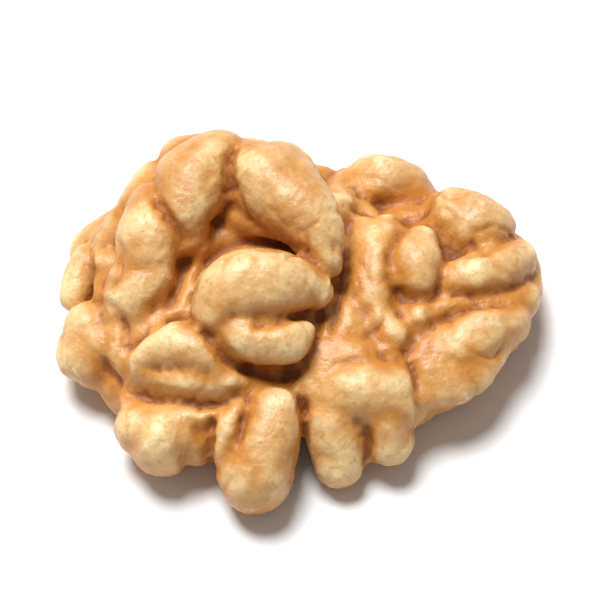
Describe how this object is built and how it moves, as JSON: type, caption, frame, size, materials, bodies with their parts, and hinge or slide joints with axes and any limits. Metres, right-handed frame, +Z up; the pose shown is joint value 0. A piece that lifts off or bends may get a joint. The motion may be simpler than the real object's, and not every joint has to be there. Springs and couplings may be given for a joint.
{
  "type": "shelled walnut half",
  "caption": "Shelled walnut half: two lobes of folded, creased flesh with a domed outer face and a hollowed inner face that it rests on.",
  "frame": {"origin": "middle of the bounding box, on the surface that the half rests on", "axes": "+X across both lobes towards the lower one, +Y towards the high back edge, +Z up out of the domed face"},
  "size_m": [0.0352, 0.0304, 0.0129],
  "materials": {
    "kernel_skin": "dry satin skin, pale tan on the folds and reddish brown in the creases"
  },
  "bodies": {
    "root": {"walnut_kernel": "kernel_skin"}
  },
  "joints": []
}
